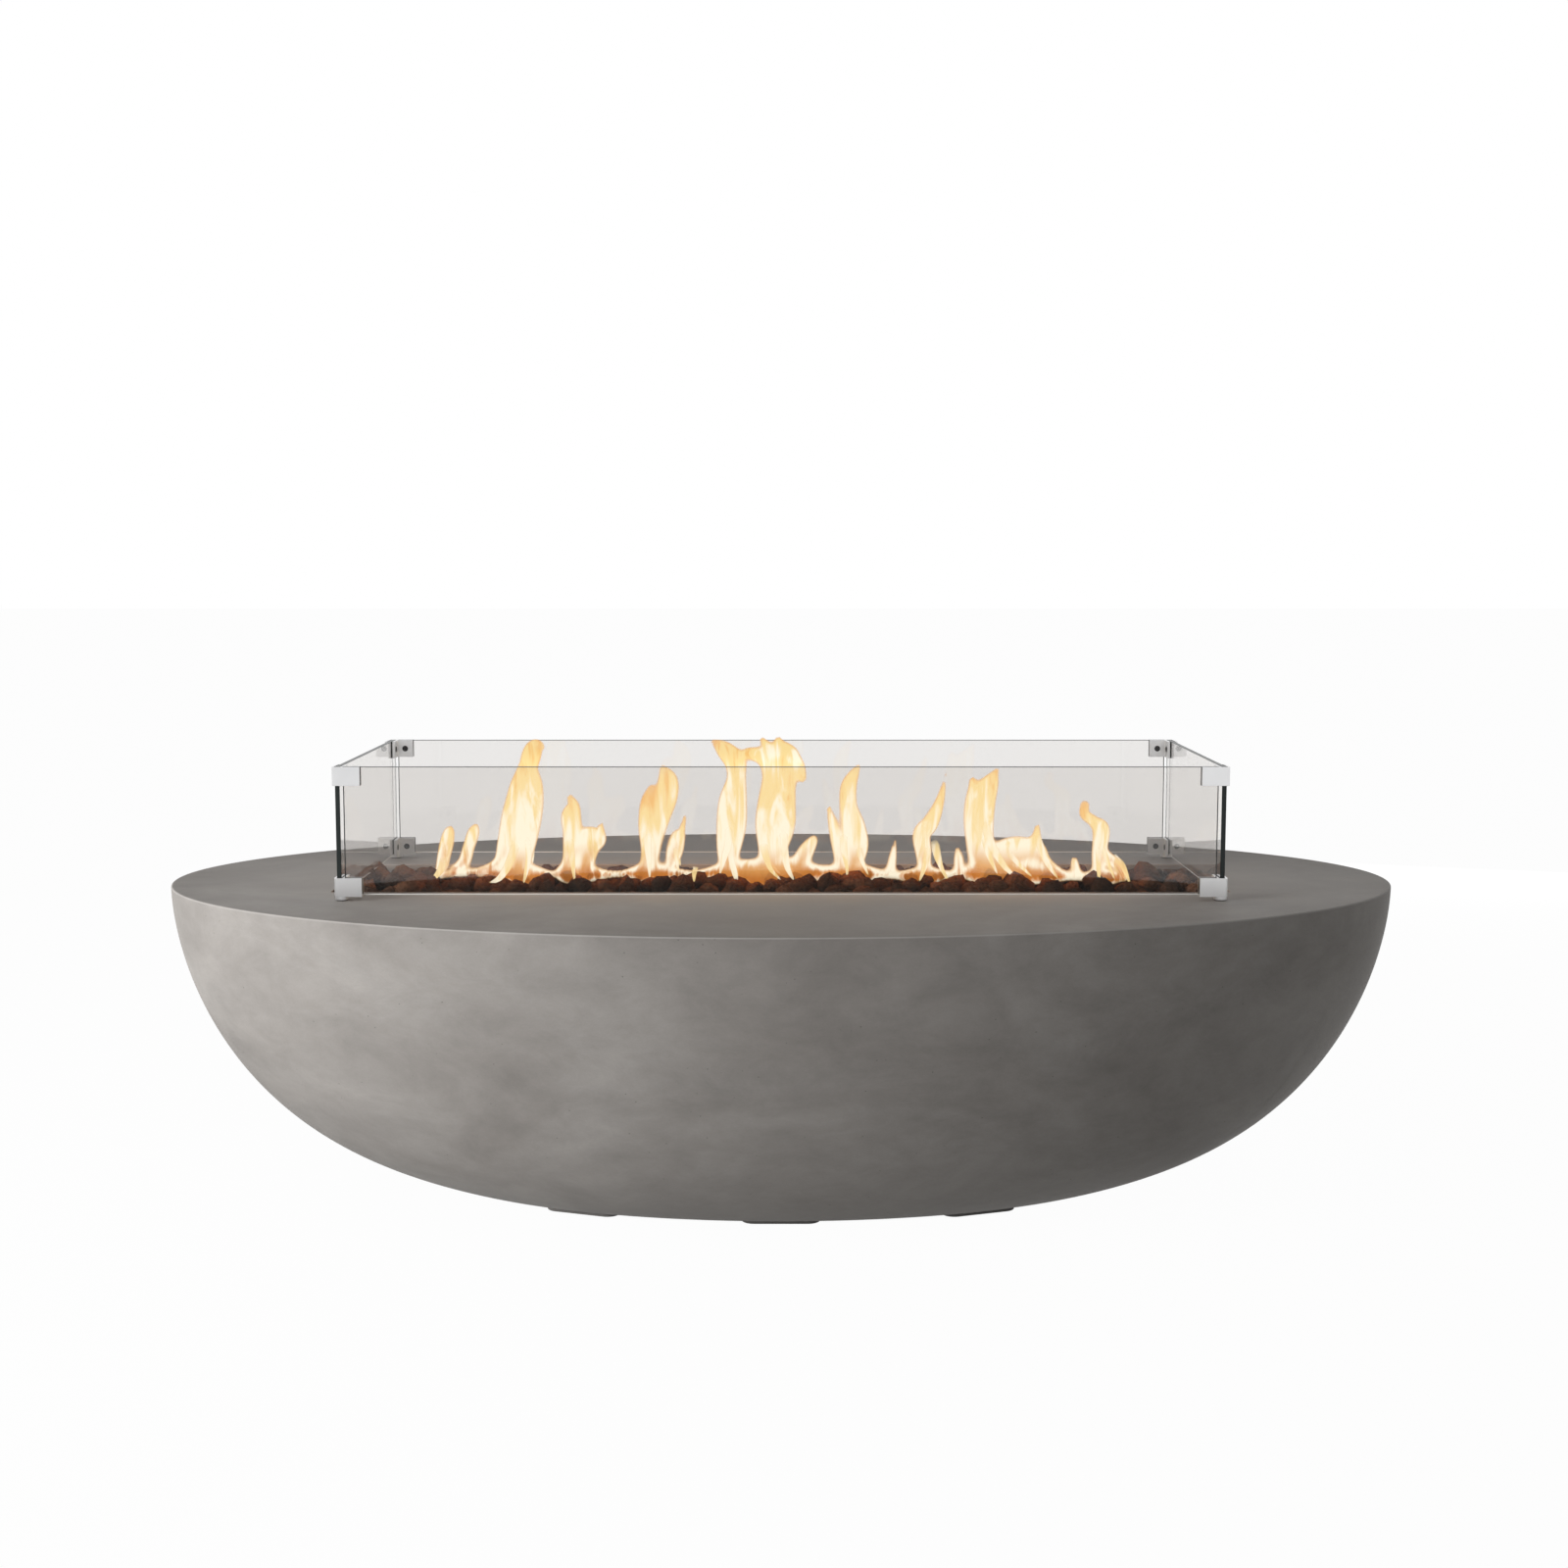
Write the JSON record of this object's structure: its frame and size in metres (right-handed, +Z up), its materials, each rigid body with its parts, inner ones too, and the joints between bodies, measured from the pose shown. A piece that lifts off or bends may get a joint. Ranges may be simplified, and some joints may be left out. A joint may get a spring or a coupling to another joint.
{
  "type": "oval fire pit table",
  "caption": "Low oval cast concrete fire table with a linear gas burner under lava rock and a loose clear glass wind guard on its flat top.",
  "frame": {"origin": "on the floor under the middle of the table", "axes": "+X along the table's length, +Y to the rear where the controls are, +Z up"},
  "size_m": [1.65, 0.914, 0.578],
  "materials": {
    "concrete": "smooth trowelled",
    "foot_rubber": "matte",
    "foot_grey": "matte",
    "zinc_steel": "satin",
    "stainless": "brushed",
    "panel_steel": "brushed",
    "lava": "rough",
    "brass": "machined",
    "copper": "satin",
    "polished_steel": "polished",
    "black_plastic": "matte",
    "black_steel": "satin",
    "red_plastic": "gloss",
    "insulator": "gloss",
    "lead_sleeve": "matte",
    "clear_glass": "polished"
  },
  "bodies": {
    "table": {"bowl": "concrete", "feet": "foot_grey", "foot_screws": "zinc_steel", "feed_locknut": "zinc_steel", "valve_spring": "zinc_steel", "igniter_spring": "zinc_steel", "igniter_nut": "zinc_steel", "pilot_screws": "zinc_steel", "burner_pan": "stainless", "burner_tube": "stainless", "burner_end_caps": "stainless", "burner_saddles": "stainless", "burner_feed": "stainless", "air_mixer": "stainless", "pilot_bracket": "stainless", "spark_rod": "stainless", "burner_hose": "stainless", "control_panel": "panel_steel", "lava_rock": "lava", "jet_elbow": "brass", "gas_valve": "brass", "gas_inlet": "brass", "inlet_nut": "brass", "inlet_pipe": "copper", "flame_sensor": "copper", "sensor_lead": "copper", "panel_screws": "polished_steel", "valve_nut": "polished_steel", "igniter_housing": "black_plastic", "spark_insulator": "insulator", "ignition_lead": "lead_sleeve"},
    "plunger": {"valve_plunger": "brass"},
    "knob": {"valve_stem": "stainless", "control_knob": "black_plastic", "knob_grub_screw": "black_steel"},
    "button": {"igniter_button": "red_plastic"},
    "guard": {"glass_front": "clear_glass", "glass_back": "clear_glass", "glass_left": "clear_glass", "glass_right": "clear_glass", "clip_front_left_top": "polished_steel", "clip_front_right_top": "polished_steel", "clip_back_left_top": "polished_steel", "clip_back_right_top": "polished_steel", "clip_front_left_bottom": "polished_steel", "clip_front_right_bottom": "polished_steel", "clip_back_left_bottom": "polished_steel", "clip_back_right_bottom": "polished_steel", "clip_liners": "foot_rubber", "clip_screws": "black_steel", "guard_feet": "polished_steel", "guard_foot_pads": "foot_rubber"}
  },
  "joints": [
    {"name": "guard_lift", "type": "slide", "parent": "table", "child": "guard", "axis": [0, 0, 1], "range_m": [0, 0.25]},
    {"name": "knob_push", "type": "slide", "parent": "table", "child": "plunger", "axis": [0, -0.9621, 0.2726], "range_m": [0, 0.004], "stiffness_N_per_m": 1500, "springref_m": -0.004, "deforming": ["valve_spring"]},
    {"name": "knob_turn", "type": "hinge", "parent": "plunger", "child": "knob", "pos_m": [0, 0.42461, 0.23291], "axis": [0, 0.9621, -0.2726], "range_deg": [0, 180]},
    {"name": "igniter_press", "type": "slide", "parent": "table", "child": "button", "axis": [0, -0.9621, 0.2726], "range_m": [0, 0.005], "stiffness_N_per_m": 1200, "springref_m": -0.004, "deforming": ["igniter_spring"]}
  ]
}
